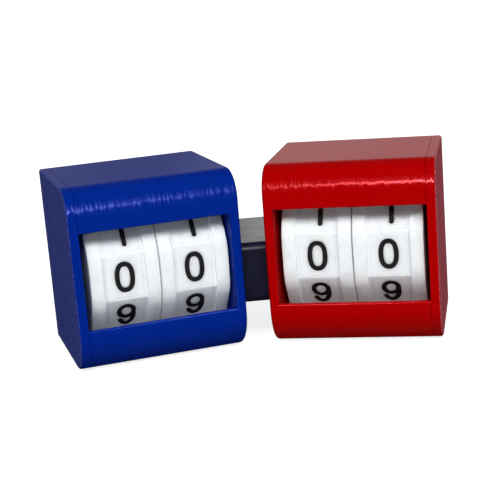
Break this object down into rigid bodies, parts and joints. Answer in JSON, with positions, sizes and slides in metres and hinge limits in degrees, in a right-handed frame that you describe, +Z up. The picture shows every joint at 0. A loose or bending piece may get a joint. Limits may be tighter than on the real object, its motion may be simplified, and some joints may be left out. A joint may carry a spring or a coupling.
{
  "type": "tabletop scoreboard",
  "caption": "Hand-turned table score counter: boxes joined at an angle by a wedge, each with a front window on many-sided number wheels.",
  "frame": {"origin": "on the table, under the middle of the whole board", "axes": "+X along the board to the reader's right, -Y towards the reader, +Z up. The left box is turned 14.25 degrees anticlockwise about +Z and the right box as much clockwise"},
  "size_m": [0.1526, 0.071, 0.0655],
  "materials": {
    "blue_printed_plastic": "silky printed plastic, deep blue, fine layer lines",
    "red_printed_plastic": "silky printed plastic, deep red, fine layer lines",
    "white_printed_plastic": "satin printed plastic, white",
    "black_printed_plastic": "satin printed plastic, black",
    "grey_printed_plastic": "plain printed plastic, grey",
    "strip_plastic": "thin flexible sheet, milky",
    "screw_steel": "plain steel"
  },
  "bodies": {
    "casing": {"left_housing": "blue_printed_plastic", "left_side_cover": "blue_printed_plastic", "left_axle": "grey_printed_plastic", "left_tens_detent_strip": "strip_plastic", "left_units_detent_strip": "strip_plastic", "left_front_link_screw": "screw_steel", "left_rear_link_screw": "screw_steel", "right_housing": "red_printed_plastic", "right_side_cover": "red_printed_plastic", "right_axle": "grey_printed_plastic", "right_tens_detent_strip": "strip_plastic", "right_units_detent_strip": "strip_plastic", "right_front_link_screw": "screw_steel", "right_rear_link_screw": "screw_steel", "link": "black_printed_plastic"},
    "left_tens_wheel": {"left_tens_drum": "white_printed_plastic", "left_tens_numeral_0": "black_printed_plastic", "left_tens_numeral_1": "black_printed_plastic", "left_tens_numeral_2": "black_printed_plastic", "left_tens_numeral_3": "black_printed_plastic", "left_tens_numeral_4": "black_printed_plastic", "left_tens_numeral_5": "black_printed_plastic", "left_tens_numeral_6": "black_printed_plastic", "left_tens_numeral_7": "black_printed_plastic", "left_tens_numeral_8": "black_printed_plastic", "left_tens_numeral_9": "black_printed_plastic"},
    "left_units_wheel": {"left_units_drum": "white_printed_plastic", "left_units_numeral_0": "black_printed_plastic", "left_units_numeral_1": "black_printed_plastic", "left_units_numeral_2": "black_printed_plastic", "left_units_numeral_3": "black_printed_plastic", "left_units_numeral_4": "black_printed_plastic", "left_units_numeral_5": "black_printed_plastic", "left_units_numeral_6": "black_printed_plastic", "left_units_numeral_7": "black_printed_plastic", "left_units_numeral_8": "black_printed_plastic", "left_units_numeral_9": "black_printed_plastic"},
    "right_tens_wheel": {"right_tens_drum": "white_printed_plastic", "right_tens_numeral_0": "black_printed_plastic", "right_tens_numeral_1": "black_printed_plastic", "right_tens_numeral_2": "black_printed_plastic", "right_tens_numeral_3": "black_printed_plastic", "right_tens_numeral_4": "black_printed_plastic", "right_tens_numeral_5": "black_printed_plastic", "right_tens_numeral_6": "black_printed_plastic", "right_tens_numeral_7": "black_printed_plastic", "right_tens_numeral_8": "black_printed_plastic", "right_tens_numeral_9": "black_printed_plastic"},
    "right_units_wheel": {"right_units_drum": "white_printed_plastic", "right_units_numeral_0": "black_printed_plastic", "right_units_numeral_1": "black_printed_plastic", "right_units_numeral_2": "black_printed_plastic", "right_units_numeral_3": "black_printed_plastic", "right_units_numeral_4": "black_printed_plastic", "right_units_numeral_5": "black_printed_plastic", "right_units_numeral_6": "black_printed_plastic", "right_units_numeral_7": "black_printed_plastic", "right_units_numeral_8": "black_printed_plastic", "right_units_numeral_9": "black_printed_plastic"}
  },
  "joints": [
    {"name": "left_tens_turn", "type": "hinge", "parent": "casing", "child": "left_tens_wheel", "pos_m": [-0.04028, 0, 0.03275], "axis": [0.9692, 0.2462, 0], "continuous": true, "deforming": ["left_tens_detent_strip"]},
    {"name": "left_units_turn", "type": "hinge", "parent": "casing", "child": "left_units_wheel", "pos_m": [-0.04028, 0, 0.03275], "axis": [0.9692, 0.2462, 0], "continuous": true, "deforming": ["left_units_detent_strip"]},
    {"name": "right_tens_turn", "type": "hinge", "parent": "casing", "child": "right_tens_wheel", "pos_m": [0.04028, 0, 0.03275], "axis": [0.9692, -0.2462, 0], "continuous": true, "deforming": ["right_tens_detent_strip"]},
    {"name": "right_units_turn", "type": "hinge", "parent": "casing", "child": "right_units_wheel", "pos_m": [0.04028, 0, 0.03275], "axis": [0.9692, -0.2462, 0], "continuous": true, "deforming": ["right_units_detent_strip"]}
  ]
}
